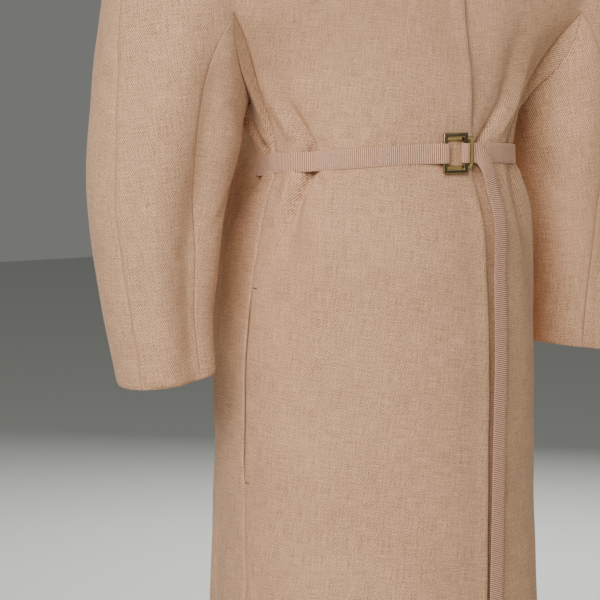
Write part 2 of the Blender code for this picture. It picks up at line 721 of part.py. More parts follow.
def buckle_ring():
    """Round wire bent to a rectangle with round corners."""
    arc_steps, wire_sides = 4, 8
    radius, bend = RING_WIRE / 2, RING_CORNER
    middle = (RING.left + RING.right) / 2
    half_width = (RING.right - RING.left) / 2 - radius - bend
    half_height = RING.half_height - radius - bend
    points, faces = [], []
    for corner in range(4):
        for turn in np.linspace(corner * 90, corner * 90 + 90, arc_steps + 1):
            way = np.array([math.cos(math.radians(turn)), math.sin(math.radians(turn))])
            sides = np.sign([math.cos(math.radians(corner * 90 + 45)), 1.5 - corner])
            at = np.array([middle, 0]) + sides * (half_width, half_height) + way * bend
            for around in np.arange(wire_sides) * 2 * math.pi / wire_sides:
                across, up = at + way * radius * math.cos(around)
                points.append(on_buckle(RING, across, up, radius * math.sin(around)))
    count = len(points)
    for start in range(0, count, wire_sides):
        for i in range(wire_sides):
            j = (i + 1) % wire_sides
            beyond = (start + wire_sides) % count
            faces.append((start + i, beyond + i, beyond + j, start + j))
    return points, faces


brass = material("brass", (0.50, 0.33, 0.13), 0.35, metallic=1.0)
frame = place("buckle_frame", *buckle_frame(), brass)
rounding = frame.modifiers.new("rounding", "BEVEL")
rounding.width = FRAME_ROUNDING
rounding.segments = 2
place("buckle_ring", *buckle_ring(), brass, smooth_angle=60)
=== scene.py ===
import math
from collections import namedtuple

import bmesh
import bpy
import numpy as np
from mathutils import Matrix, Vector
from mathutils.bvhtree import BVHTree


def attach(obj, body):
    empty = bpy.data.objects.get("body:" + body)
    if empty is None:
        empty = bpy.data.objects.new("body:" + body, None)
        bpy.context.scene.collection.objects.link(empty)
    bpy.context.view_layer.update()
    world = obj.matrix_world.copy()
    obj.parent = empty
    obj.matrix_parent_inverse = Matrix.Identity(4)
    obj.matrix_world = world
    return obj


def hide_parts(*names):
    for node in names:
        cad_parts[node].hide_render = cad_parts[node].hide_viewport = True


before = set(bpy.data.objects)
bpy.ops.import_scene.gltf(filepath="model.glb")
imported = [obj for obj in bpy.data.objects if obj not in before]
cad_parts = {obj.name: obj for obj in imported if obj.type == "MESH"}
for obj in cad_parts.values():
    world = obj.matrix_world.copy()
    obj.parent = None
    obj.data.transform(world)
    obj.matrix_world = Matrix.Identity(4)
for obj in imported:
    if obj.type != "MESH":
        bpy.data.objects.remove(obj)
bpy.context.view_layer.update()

# Wool panels: cut from double-faced beige wool twill about 2 mm thick, spun of light and dark
# fibres. Fronts and backs run on into the sleeves, a side panel and an under-sleeve are let
# in under each arm, and all are joined with plain pressed seams.
MM = 0.001
AXIS_Y = -0.020  # the body's middle
APEX = -0.249  # level of the points where sleeve, side and front part
APEX_X = 0.2125
THICKNESS_EDGE = 2.8 * MM  # edges shorter than this cross the cloth's thickness
RIM_WIDTH = 2.0 * MM  # faces narrower than this lie on the cut edge
SEAM_CREASE = 0.55  # a seam's edge is pressed, with a little roll
SEAM_SINK = 1.5 * MM
FINE = 3  # levels of subdivision

BodyFold = namedtuple("BodyFold", "angle level width rise")
# Creases and ridges of the body as they run: the angle around the body in degrees, minus on
# the coat's right side, the level in metres, and the width and rise in millimetres.
BODY_FOLDS = {
    "right_pinch": [
        BodyFold(-76, -0.290, 12, 0),
        BodyFold(-76.5, -0.335, 7, -4.0),
        BodyFold(-72.4, -0.360, 4.5, -9.0),
        BodyFold(-69, -0.378, 4, -13.0),
        BodyFold(-68.5, -0.404, 4.2, -15.0),
        BodyFold(-70.3, -0.423, 5, -11.0),
        BodyFold(-72.2, -0.437, 6.5, -7.0),
        BodyFold(-75, -0.500, 13, 0),
    ],
    "right_pinch_ridge_behind": [
        BodyFold(-81, -0.310, 10, 0),
        BodyFold(-80, -0.345, 8, 4.5),
        BodyFold(-77, -0.369, 6, 3.5),
        BodyFold(-76, -0.377, 5, 0),
    ],
    "right_pinch_ridge_ahead": [
        BodyFold(-66, -0.300, 14, 0),
        BodyFold(-65, -0.345, 10, 2.5),
        BodyFold(-62, -0.370, 7, 2.0),
        BodyFold(-62, -0.378, 6, 0),
    ],
    "right_billow_behind": [
        BodyFold(-76, -0.402, 6, 0),
        BodyFold(-77, -0.412, 6, 4.5),
        BodyFold(-79, -0.440, 9, 4.0),
        BodyFold(-82, -0.520, 14, 0),
    ],
    "right_billow_ahead": [
        BodyFold(-61, -0.402, 6, 0),
        BodyFold(-58, -0.413, 7, 3.5),
        BodyFold(-60, -0.450, 12, 3.5),
        BodyFold(-62, -0.600, 20, 0),
    ],
    "right_short_crease": [
        BodyFold(-66.5, -0.400, 2.5, 0),
        BodyFold(-66, -0.406, 3, -4.5),
        BodyFold(-63.2, -0.417, 3.5, -3.5),
        BodyFold(-60, -0.436, 4, 0),
    ],
    "right_side_roll_valley": [
        BodyFold(-102, -0.335, 7, 0),
        BodyFold(-100, -0.356, 7, -3.0),
        BodyFold(-98, -0.372, 5, -5.0),
        BodyFold(-92, -0.386, 4, -6.0),
        BodyFold(-94, -0.402, 4, -6.0),
        BodyFold(-99, -0.418, 6, -5.0),
        BodyFold(-106, -0.436, 8, -3.0),
        BodyFold(-112, -0.470, 11, 0),
    ],
    "right_side_roll": [
        BodyFold(-90, -0.275, 10, 0),
        BodyFold(-93, -0.310, 10, 3.0),
        BodyFold(-94, -0.345, 9, 4.5),
        BodyFold(-91, -0.372, 6, 3.0),
        BodyFold(-89, -0.380, 5, 0),
    ],
    "right_back_swell": [
        BodyFold(-126, -0.300, 22, 0),
        BodyFold(-126, -0.345, 20, 7.0),
        BodyFold(-127, -0.389, 18, 8.0),
        BodyFold(-126, -0.430, 24, 12.0),
        BodyFold(-128, -0.520, 30, 9.0),
        BodyFold(-130, -0.700, 34, 0),
    ],
    "left_side_roll": [
        BodyFold(92, -0.280, 10, 0),
        BodyFold(93, -0.330, 9, 3.5),
        BodyFold(90, -0.370, 6, 3.0),
        BodyFold(89, -0.380, 5, 0),
    ],
    "left_back_swell": [
        BodyFold(126, -0.310, 22, 0),
        BodyFold(126, -0.430, 24, 6.0),
        BodyFold(129, -0.540, 30, 7.0),
        BodyFold(130, -0.720, 34, 0),
    ],
    "right_soft_shade": [
        BodyFold(-74, -0.430, 14, 0),
        BodyFold(-72, -0.480, 16, -2.0),
        BodyFold(-68, -0.560, 18, -2.2),
        BodyFold(-66, -0.700, 24, 0),
    ],
    "left_drag": [
        BodyFold(62, -0.215, 18, 0),
        BodyFold(59, -0.274, 13, -3.0),
        BodyFold(55.7, -0.313, 10, -5.0),
        BodyFold(50.3, -0.338, 8, -6.0),
        BodyFold(41.5, -0.361, 6, -6.0),
        BodyFold(31.3, -0.379, 5, -4.5),
        BodyFold(26, -0.400, 5, 0),
    ],
    "left_drag_ridge_ahead": [
        BodyFold(48, -0.240, 18, 0),
        BodyFold(44, -0.313, 12, 2.0),
        BodyFold(33, -0.350, 9, 2.4),
        BodyFold(25, -0.372, 7, 1.0),
        BodyFold(22, -0.379, 6, 0),
    ],
    "left_drag_ridge_behind": [
        BodyFold(68, -0.270, 9, 0),
        BodyFold(64, -0.318, 7, 4.0),
        BodyFold(58, -0.345, 6, 4.5),
        BodyFold(48, -0.369, 5, 2.5),
        BodyFold(44, -0.378, 4, 0),
    ],
    "left_outer_valley": [
        BodyFold(74, -0.285, 8, 0),
        BodyFold(70, -0.326, 6.5, -4.5),
        BodyFold(66, -0.358, 5.5, -5.5),
        BodyFold(58, -0.377, 4.5, -5.0),
        BodyFold(57, -0.404, 4, -6.5),
        BodyFold(60, -0.418, 5, -6.0),
        BodyFold(58.8, -0.436, 7, -4.5),
        BodyFold(56, -0.500, 14, 0),
    ],
    "left_billow_behind": [
        BodyFold(65, -0.402, 5, 0),
        BodyFold(67, -0.412, 7, 4.0),
        BodyFold(69, -0.445, 10, 3.5),
        BodyFold(68, -0.560, 18, 0),
    ],
    "left_billow_ahead": [
        BodyFold(49, -0.402, 5, 0),
        BodyFold(49, -0.414, 7, 2.5),
        BodyFold(47, -0.450, 11, 2.0),
        BodyFold(46, -0.600, 18, 0),
    ],
    "left_side_roll_valley": [
        BodyFold(103, -0.335, 7, 0),
        BodyFold(100, -0.360, 7, -3.0),
        BodyFold(95, -0.382, 4.5, -5.5),
        BodyFold(97, -0.405, 4.5, -6.0),
        BodyFold(104, -0.430, 8, -3.5),
        BodyFold(110, -0.480, 12, 0),
    ],
    "skirt_right_front": [
        BodyFold(-44, -0.560, 24, 0),
        BodyFold(-46, -0.760, 28, -1.8),
        BodyFold(-50, -1.140, 30, -2.6),
    ],
    "skirt_left_front": [
        BodyFold(38, -0.480, 20, 0),
        BodyFold(40, -0.700, 26, -2.0),
        BodyFold(44, -1.140, 30, -3.0),
    ],
    "back_right_long": [
        BodyFold(-163, -0.250, 18, 0),
        BodyFold(-160, -0.420, 18, -6.0),
        BodyFold(-152, -0.720, 24, -6.0),
        BodyFold(-148, -1.140, 30, -10.0),
    ],
    "back_left_long": [
        BodyFold(166, -0.280, 18, 0),
        BodyFold(160, -0.430, 18, -5.0),
        BodyFold(150, -0.740, 24, -7.0),
        BodyFold(145, -1.140, 30, -11.0),
    ],
    "back_right_flute": [
        BodyFold(-172, -0.520, 16, 0),
        BodyFold(-170, -0.760, 20, 5.0),
        BodyFold(-167, -1.140, 26, 9.0),
    ],
    "back_left_flute": [
        BodyFold(172, -0.600, 16, 0),
        BodyFold(168, -0.820, 20, 5.0),
        BodyFold(164, -1.140, 26, 8.0),
    ],
    "side_right_flute": [
        BodyFold(-112, -0.680, 16, 0),
        BodyFold(-116, -0.900, 22, -4.0),
        BodyFold(-118, -1.140, 28, -8.0),
    ],
    "side_left_flute": [
        BodyFold(110, -0.600, 16, 0),
        BodyFold(114, -0.850, 22, -5.0),
        BodyFold(116, -1.140, 28, -9.0),
    ],
    "shoulder_blade_drag": [
        BodyFold(-178, -0.150, 12, 0),
        BodyFold(-172, -0.240, 12, -4.0),
        BodyFold(-170, -0.360, 14, -3.0),
        BodyFold(-172, -0.460, 16, 0),
    ],
    "back_right_drag": [
        BodyFold(-152, -0.200, 12, 0),
        BodyFold(-146, -0.260, 10, -7.0),
        BodyFold(-140, -0.330, 10, -9.0),
        BodyFold(-136, -0.430, 14, 0),
    ],
    "back_left_drag": [
        BodyFold(150, -0.190, 12, 0),
        BodyFold(145, -0.270, 10, -8.0),
        BodyFold(139, -0.350, 10, -8.0),
        BodyFold(135, -0.440, 14, 0),
    ],
}

SleeveFold = namedtuple("SleeveFold", "angle level width rise")
# Soft folds of the sleeves: the angle from straight ahead over the outer side, then as above.
SLEEVE_FOLDS = {
    -1: {
        "beside_front_seam": [
            SleeveFold(0, -0.245, 18, 0),
            SleeveFold(-4, -0.320, 23, -10.0),
            SleeveFold(-8, -0.430, 26, -16.0),
            SleeveFold(-10, -0.540, 24, -14.0),
            SleeveFold(-10, -0.625, 19, -6.0),
        ],
        "front_roll": [
            SleeveFold(34, -0.220, 16, 0),
            SleeveFold(38, -0.350, 17, 4.5),
            SleeveFold(34, -0.480, 16, 4.5),
            SleeveFold(28, -0.612, 14, 2.0),
        ],
        "outer_hollow": [
            SleeveFold(56, -0.270, 14, 0),
            SleeveFold(52, -0.380, 15, -1.6),
            SleeveFold(44, -0.500, 14, -1.4),
            SleeveFold(38, -0.625, 12, -0.6),
        ],
        "elbow_crease": [
            SleeveFold(-76, -0.380, 8, 0),
            SleeveFold(-60, -0.420, 8, -2.5),
            SleeveFold(-40, -0.450, 8, -2.0),
            SleeveFold(-24, -0.470, 8, 0),
        ],
        "swell_to_body": [
            SleeveFold(-92, -0.350, 16, 0),
            SleeveFold(-96, -0.400, 20, 5.0),
            SleeveFold(-96, -0.520, 22, 5.0),
            SleeveFold(-92, -0.600, 20, 0),
        ],
        "back_elbow_crease": [
            SleeveFold(-150, -0.400, 8, 0),
            SleeveFold(-172, -0.430, 8, -3.5),
            SleeveFold(-195, -0.465, 8, -3.0),
            SleeveFold(-215, -0.500, 9, 0),
        ],
        "under_crease": [
            SleeveFold(-96, -0.470, 9, 0),
            SleeveFold(-84, -0.510, 8, -2.0),
            SleeveFold(-70, -0.560, 9, 0),
        ],
        "back_roll": [
            SleeveFold(134, -0.230, 16, 0),
            SleeveFold(142, -0.360, 15, -5.0),
            SleeveFold(154, -0.480, 13, -5.0),
            SleeveFold(168, -0.600, 12, 0),
        ],
    },
    1: {
        "beside_front_seam": [
            SleeveFold(2, -0.260, 16, 0),
            SleeveFold(0, -0.350, 18, -6.5),
            SleeveFold(-5, -0.460, 19, -8.0),
            SleeveFold(-10, -0.610, 16, -2.0),
        ],
        "front_roll": [
            SleeveFold(38, -0.230, 17, 0),
            SleeveFold(34, -0.360, 16, 1.8),
            SleeveFold(22, -0.500, 15, 1.2),
            SleeveFold(14, -0.612, 14, 0.6),
        ],
        "outer_hollow": [
            SleeveFold(58, -0.260, 15, 0),
            SleeveFold(50, -0.390, 15, -1.8),
            SleeveFold(40, -0.625, 13, -0.8),
        ],
        "elbow_crease": [
            SleeveFold(-74, -0.390, 8, 0),
            SleeveFold(-58, -0.425, 9, -2.2),
            SleeveFold(-36, -0.460, 8, 0),
        ],
        "back_roll": [
            SleeveFold(132, -0.240, 16, 0),
            SleeveFold(144, -0.370, 15, -5.5),
            SleeveFold(160, -0.500, 13, -4.5),
            SleeveFold(172, -0.600, 12, 0),
        ],
    },
}
SLEEVE_MIDDLE = {  # level: how far out the sleeve's middle lies
    -0.611: 0.2541,
    -0.490: 0.2619,
    -0.382: 0.2516,
    -0.308: 0.2410,
    -0.249: 0.2360,
}
POCKET_TOP, POCKET_FOOT = -0.523, -0.727
POCKET_FADE = 30 * MM  # the lips close over this length at both ends
POCKET_ANGLES = (80, 104)  # the side-front seams lie between these, in degrees
POCKET_LIFT = 0.9 * MM  # how far the pocket's rolled back lip stands up
POCKET_DIP = 0.8 * MM  # how far the front lip sinks behind it
BLEND_SLOPE = 0.4  # above the apex, body and sleeve pass into each other over a wider band
BLEND_LEAST, BLEND_MOST = 1 * MM, 45 * MM
UNEVEN = 0.25 * MM  # pressed cloth is never quite even


def ease(t):
    """0 below 0, 1 above 1 and a soft step between."""
    t = np.clip(t, 0, 1)
    return t * t * (3 - 2 * t)


def fold_rise(folds, angle, level, reach):
    """How far all folds of a table move the points at these angles and levels."""
    move = np.zeros(len(angle))
    for rows in folds.values():
        rows = sorted(rows, key=lambda row: row.level)
        levels = [row.level for row in rows]
        middle, width, rise = (
            np.interp(level, levels, [getattr(row, name) for row in rows])
            for name in ("angle", "width", "rise")
        )
        off = np.radians((angle - middle + 180) % 360 - 180) * reach / MM
        within = (level >= levels[0]) & (level <= levels[-1])
        move += within * rise * np.exp(-((off / width) ** 2)) * MM
    return move


def pocket_window(points, angle):
    """1 along the pocket opening in the side-front seams, and 0 elsewhere."""
    below = ease((POCKET_TOP - points[:, 2]) / POCKET_FADE)
    above = ease((points[:, 2] - POCKET_FOOT) / POCKET_FADE)
    least, most = POCKET_ANGLES
    return below * above * ((np.abs(angle) > least) & (np.abs(angle) < most))


def surface_of(*nodes):
    """Search tree over the CAD surfaces of some nodes."""
    corners, triangles = [], []
    for node in nodes:
        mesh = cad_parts[node].data
        first = len(corners)
        corners += [v.co.copy() for v in mesh.vertices]
        triangles += [[first + i for i in face.vertices] for face in mesh.polygons]
    return BVHTree.FromPolygons(corners, triangles)


SIDES = surface_of("side_right", "side_left")
UNDERSLEEVES = surface_of("undersleeve_right", "undersleeve_left")
UNDERARM_CALM = 24 * MM  # the folds die out this near to the seam under the arm
SEAM_GAP = 0.6 * MM
FRONT_EDGE = 0.040  # the right front laps this far over the body's middle
EDGE_LIFT = 2.4 * MM  # its free edge, faced with a second layer, stands off the left front
EDGE_ROLL = 16 * MM
BELT_LEVEL = -0.389
BELT_HOLD = 16 * MM  # the belt holds the edge down this far above and below its middle
BELT_FADE = 35 * MM
BACK_SEAM = 3.0 * MM  # this near to the centre back seam the backs are drawn together


def underarm_calm(points):
    """0 on the seam of side panel and under-sleeve, rising to 1 a little way off."""
    calm = np.ones(len(points))
    # Only points round the armholes can be near that seam
    near = (np.abs(points[:, 0]) > 0.10) & (points[:, 2] > -0.42) & (points[:, 2] < -0.20)
    for i in np.flatnonzero(near):
        off = max(tree.find_nearest(Vector(points[i]))[3] for tree in (SIDES, UNDERSLEEVES))
        calm[i] = ease((off - SEAM_GAP) / UNDERARM_CALM)
    return calm


def edge_lift(points):
    """How far the right front's free edge stands up, apart from where the belt holds it."""
    near = ease((points[:, 0] - FRONT_EDGE + EDGE_ROLL) / EDGE_ROLL)
    free = ease((np.abs(points[:, 2] - BELT_LEVEL) - BELT_HOLD) / BELT_FADE)
    return EDGE_LIFT * near * free


def worn(points, rim, kind, free_edge=False):
    """Points of a panel moved by the body's and the sleeve's folds, the pocket's opening
    and the slight unevenness of pressed cloth."""
    x, y, z = points.T
    side = np.where(x < 0, -1, 1)
    body_way = np.stack([x, y - AXIS_Y], axis=1)
    body_reach = np.linalg.norm(body_way, axis=1)
    body_angle = np.degrees(np.arctan2(x, -(y - AXIS_Y)))
    levels = sorted(SLEEVE_MIDDLE)
    middle = side * np.interp(z, levels, [SLEEVE_MIDDLE[level] for level in levels])
    sleeve_way = np.stack([x - middle, y], axis=1)
    sleeve_reach = np.linalg.norm(sleeve_way, axis=1)
    sleeve_angle = np.degrees(np.arctan2(side * (x - middle), -y))
    if kind == "side":
        in_sleeve = np.zeros(len(x))
    elif kind == "undersleeve":
        in_sleeve = np.ones(len(x))
    else:
        blend = np.clip(BLEND_SLOPE * (z - APEX), BLEND_LEAST, BLEND_MOST)
        in_sleeve = ease((np.abs(x) - APEX_X + blend) / (2 * blend))
    body_move = fold_rise(BODY_FOLDS, body_angle, z, body_reach)
    sleeve_move = np.zeros(len(x))
    for hand, folds in SLEEVE_FOLDS.items():
        sleeve_move += (side == hand) * fold_rise(folds, sleeve_angle, z, sleeve_reach)
    if kind == "front":
        body_move -= POCKET_DIP * rim**3 * pocket_window(points, body_angle)
    if kind == "side":
        body_move += POCKET_LIFT * rim**2 * pocket_window(points, body_angle)
    if free_edge:
        body_move += edge_lift(points)
    uneven = np.sin(x * 61 + z * 23 + 1.3) + np.sin(y * 53 - z * 37) + np.sin((x + y) * 31 + z * 71)
    body_move += UNEVEN * uneven
    sleeve_move += UNEVEN * uneven
    sink = SEAM_SINK * rim**5
    calm = underarm_calm(points)
    body_move = (body_move - sink) * calm
    sleeve_move = (sleeve_move - sink) * calm
    moved = points.copy()
    body_unit = body_way / body_reach[:, None]
    sleeve_unit = sleeve_way / np.maximum(sleeve_reach, 0.01)[:, None]
    moved[:, :2] += body_unit * (body_move * (1 - in_sleeve))[:, None]
    moved[:, :2] += sleeve_unit * (sleeve_move * in_sleeve)[:, None]
    if kind == "back":
        moved[:, 0] *= ease(np.abs(moved[:, 0]) / BACK_SEAM)
    return moved


def is_rim(face):
    """Whether a face lies on the cut edge of the cloth."""
    lengths = [edge.calc_length() for edge in face.edges]
    return min(lengths) < THICKNESS_EDGE or face.calc_area() / max(lengths) < RIM_WIDTH


def quads_of(node):
    """Copy of a CAD panel as quads, with the edges of its cloth creased."""
    panel = bmesh.new()
    panel.from_mesh(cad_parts[node].data)
    bmesh.ops.remove_doubles(panel, verts=panel.verts[:], dist=0.02 * MM)
    bmesh.ops.join_triangles(
        panel,
        faces=panel.faces[:],
        angle_face_threshold=math.radians(40),
        angle_shape_threshold=math.radians(180),
    )
    crease = panel.edges.layers.float.new("crease_edge")
    rim = panel.verts.layers.float.new("rim")
    rims = {face for face in panel.faces if is_rim(face)}
    for edge in panel.edges:
        across = sum(face in rims for face in edge.link_faces)
        if across == 1:
            edge[crease] = SEAM_CREASE
            edge.seam = True
            for vert in edge.verts:
                vert[rim] = 1
        elif across == 2 and edge.calc_length() < THICKNESS_EDGE:
            if edge.calc_face_angle(0) > math.radians(35):
                edge[crease] = 1
    return panel


def islands(mesh):
    """Groups of faces between the marked seams."""
    panel = bmesh.new()
    panel.from_mesh(mesh)
    seen, groups = set(), []
    for face in panel.faces:
        if face.index in seen:
            continue
        group, queue = [], [face]
        seen.add(face.index)
        while queue:
            here = queue.pop()
            group.append(here.index)
            for edge in here.edges:
                if edge.seam:
                    continue
                for other in edge.link_faces:
                    if other.index not in seen:
                        seen.add(other.index)
                        queue.append(other)
        groups.append(group)
    panel.free()
    return sorted(groups, key=len, reverse=True)


def lay_grain(piece, shift):
    """Flattens a panel to its cut and lays the cloth's grain on it, in metres: the second
    coordinate runs along the warp, which hangs straight down the skirt or the sleeve."""
    for other in bpy.context.selected_objects:
        other.select_set(False)
    bpy.context.view_layer.objects.active = piece
    piece.select_set(True)
    bpy.ops.object.mode_set(mode="EDIT")
    bpy.ops.mesh.select_all(action="SELECT")
    bpy.ops.uv.unwrap(method="ANGLE_BASED", margin=0.001)
    bpy.ops.object.mode_set(mode="OBJECT")
    piece.select_set(False)
    mesh = piece.data
    mesh.uv_layers.active.name = "grain"
    places = np.array([v.co for v in mesh.vertices])
    flat = np.zeros(len(mesh.loops) * 2)
    mesh.uv_layers["grain"].uv.foreach_get("vector", flat)
    flat = flat.reshape(-1, 2)
    corner_vertex = np.array([loop.vertex_index for loop in mesh.loops])
    done = np.zeros(len(mesh.loops), bool)
    # The two largest islands are the cloth's outer and inner side
    for group in islands(mesh)[:2]:
        loops = np.concatenate([list(mesh.polygons[i].loop_indices) for i in group])
        real = sum(mesh.polygons[i].area for i in group)
        drawn = 0
        for i in group:
            u, v = flat[list(mesh.polygons[i].loop_indices)].T
            drawn += abs(np.dot(u, np.roll(v, 1)) - np.dot(v, np.roll(u, 1))) / 2
        spots = places[corner_vertex[loops]]
        hanging = spots[:, 2] < min(-0.45, np.percentile(spots[:, 2], 60))
        terms = np.column_stack([flat[loops][hanging], np.ones(hanging.sum())])
        a, b, _ = np.linalg.lstsq(terms, spots[hanging, 2], rcond=None)[0]
        warp = np.array([a, b]) / math.hypot(a, b)
        weft = np.array([warp[1], -warp[0]])
        if np.dot(flat[loops] @ weft - (flat[loops] @ weft).mean(), spots[:, 0]) < 0:
            weft = -weft
        grain = np.column_stack([flat[loops] @ weft, flat[loops] @ warp]) * math.sqrt(real / drawn)
        flat[loops] = grain + shift
        done[loops] = True
    at_vertex = {corner_vertex[i]: flat[i] for i in np.flatnonzero(done)}
    for i in np.flatnonzero(~done):
        flat[i] = at_vertex.get(corner_vertex[i], flat[i])
    mesh.uv_layers["grain"].uv.foreach_set("vector", flat.ravel())


def wool_panel(node, kind, shift):
    """Piece of cloth that stands for a CAD node: subdivided, then folded as worn."""
    panel = quads_of(node)
    coarse = bpy.data.meshes.new(node + "_coarse")
    panel.to_mesh(coarse)
    panel.free()
    rough = bpy.data.objects.new(node + "_coarse", coarse)
    bpy.context.scene.collection.objects.link(rough)
    lay_grain(rough, shift)
    fine = rough.modifiers.new("fine", "SUBSURF")
    fine.levels = fine.render_levels = FINE
    fine.uv_smooth = "PRESERVE_BOUNDARIES"
    bpy.context.view_layer.update()
    mesh = bpy.data.meshes.new_from_object(rough.evaluated_get(bpy.context.evaluated_depsgraph_get()))
    bpy.data.objects.remove(rough)
    count = len(mesh.vertices)
    points = np.zeros(count * 3)
    mesh.vertices.foreach_get("co", points)
    rim = np.zeros(count)
    mesh.attributes["rim"].data.foreach_get("value", rim)
    points = worn(points.reshape(-1, 3), rim, kind, node == "front_right")
    mesh.vertices.foreach_set("co", points.ravel())
    mesh.update()
    mesh.name = "wool_" + node
    mesh.shade_smooth()
    piece = bpy.data.objects.new("wool_" + node, mesh)
    bpy.context.scene.collection.objects.link(piece)
    return piece


def linear(hex_code):
    """Linear colour of an sRGB hex code."""
    parts = [int(hex_code[i : i + 2], 16) / 255 for i in (1, 3, 5)]
    return [p / 12.92 if p <= 0.04045 else ((p + 0.055) / 1.055) ** 2.4 for p in parts] + [1]


def add(tree, kind, inputs=None, **settings):
    """New node with its settings, and with a value or a link on each named input."""
    new = tree.nodes.new(kind)
    for name, value in settings.items():
        setattr(new, name, value)
    for name, value in (inputs or {}).items():
        if isinstance(value, bpy.types.NodeSocket):
            tree.links.new(value, new.inputs[name])
        else:
            new.inputs[name].default_value = value
    return new


# Beige wool twill, woven and lightly milled: melange fibres, thicker yarns here and there in
# warp and weft, faint diagonal twill lines and a short matt nap that catches side light.
FIBRE = 1.3 * MM  # clumps of fibre, drawn coarser than real fibres so that they show
YARN = 1.15 * MM  # thicker yarns are drawn this wide, about three real yarns
YARN_RUN = 24 * MM
TWILL_PITCH = 2.0 * MM  # drawn coarser than the real lines so that they show
TWILL_TURN = 40  # degrees
SHADE_RUN = 70 * MM
# How strongly each shows in the colour, and the sums that are darkest and lightest
YARN_SHARE = 0.29
FIBRE_SHARE = 0.66
SHADE_SHARE = 0.07
TWILL_SHARE = 0.21
DARKEST, LIGHTEST = 0.225, 0.715


def wool_twill(name, dark, light):
    wool = bpy.data.materials.new(name)
    wool.use_nodes = True
    tree = wool.node_tree
    shader = tree.nodes["Principled BSDF"]
    grain = add(tree, "ShaderNodeUVMap", uv_map="grain").outputs["UV"]
    fibre = add(
        tree,
        "ShaderNodeTexNoise",
        {"Vector": grain, "Scale": 1 / FIBRE, "Detail": 3.0, "Roughness": 0.6},
        noise_dimensions="2D",
    ).outputs["Fac"]
    yarns = []
    for run in ((1 / YARN, 1 / YARN_RUN, 1), (1 / YARN_RUN, 1 / YARN, 1)):
        along = add(tree, "ShaderNodeMapping", {"Vector": grain, "Scale": run}).outputs["Vector"]
        yarn = add(
            tree,
            "ShaderNodeTexNoise",
            {"Vector": along, "Scale": 1.0, "Detail": 3.0, "Roughness": 0.62},
            noise_dimensions="2D",
        )
        yarns.append(yarn.outputs["Fac"])
    weft = add(tree, "ShaderNodeMath", {0: yarns[1], 1: 0.95}, operation="MULTIPLY").outputs[0]
    both_yarns = add(
        tree, "ShaderNodeMath", {0: yarns[0], 1: 1.05, 2: weft}, operation="MULTIPLY_ADD"
    ).outputs[0]
    shade = add(
        tree,
        "ShaderNodeTexNoise",
        {"Vector": grain, "Scale": 1 / SHADE_RUN, "Detail": 2.0},
        noise_dimensions="2D",
    ).outputs["Fac"]
    turned = add(
        tree, "ShaderNodeMapping", {"Vector": grain, "Rotation": (0, 0, math.radians(TWILL_TURN))}
    ).outputs["Vector"]
    twill = add(
        tree,
        "ShaderNodeTexWave",
        {
            "Vector": turned,
            "Scale": 2 * math.pi / 20 / TWILL_PITCH,
            "Distortion": 1.2,
            "Detail": 1.0,
            "Detail Scale": 0.6,
        },
        bands_direction="X",
    ).outputs["Fac"]
    tone = -YARN_SHARE
    for part, share in (
        (both_yarns, YARN_SHARE),
        (fibre, FIBRE_SHARE),
        (shade, SHADE_SHARE),
        (twill, TWILL_SHARE),
    ):
        tone = add(
            tree, "ShaderNodeMath", {0: part, 1: share, 2: tone}, operation="MULTIPLY_ADD"
        ).outputs[0]
    tone = add(
        tree,
        "ShaderNodeMapRange",
        {"Value": tone, "From Min": DARKEST, "From Max": LIGHTEST},
        interpolation_type="SMOOTHSTEP",
    ).outputs["Result"]
    colour = add(
        tree,
        "ShaderNodeMix",
        {0: tone, 6: linear(dark), 7: linear(light)},
        data_type="RGBA",
    ).outputs[2]
    tree.links.new(colour, shader.inputs["Base Color"])
    height = add(tree, "ShaderNodeMath", {0: fibre, 1: 0.8, 2: twill}, operation="MULTIPLY_ADD")
    height = add(
        tree, "ShaderNodeMath", {0: both_yarns, 1: 0.25, 2: height.outputs[0]}, operation="MULTIPLY_ADD"
    )
    bump = add(
        tree,
        "ShaderNodeBump",
        {"Height": height.outputs[0], "Strength": 0.45, "Distance": 0.28 * MM},
    )
    tree.links.new(bump.outputs["Normal"], shader.inputs["Normal"])
    shader.inputs["Roughness"].default_value = 0.92
    shader.inputs["Specular IOR Level"].default_value = 0.2
    shader.inputs["Sheen Weight"].default_value = 0.18
    shader.inputs["Sheen Roughness"].default_value = 0.45
    shader.inputs["Sheen Tint"].default_value = linear("#E8D6C2")
    return wool


wool_finish = wool_twill("wool_twill_beige", "#7D5B44", "#DEAE87")
wool = {}
Cut = namedtuple("Cut", "node width length area")
# Each panel as it lies flat, in metres and square metres.
CUTS = (
    Cut("front_right", 0.543, 1.182, 0.347),
    Cut("front_left", 0.538, 1.178, 0.342),
    Cut("back_right", 0.692, 1.184, 0.324),
    Cut("back_left", 0.691, 1.180, 0.323),
    Cut("side_right", 0.185, 0.890, 0.061),
    Cut("side_left", 0.185, 0.890, 0.061),
    Cut("undersleeve_right", 0.238, 0.353, 0.054),
    Cut("undersleeve_left", 0.244, 0.353, 0.055),
)
GRAIN_SHIFT = np.array([0.37, 0.21])  # gives each panel its own stretch of the cloth
for index, cut in enumerate(CUTS):
    node, kind = cut.node, cut.node.split("_")[0]
    panel = wool_panel(node, kind, GRAIN_SHIFT * index)
    panel.data.materials.clear()
    panel.data.materials.append(wool_finish)
    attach(panel, "root")
    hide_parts(node)
    wool[node] = panel

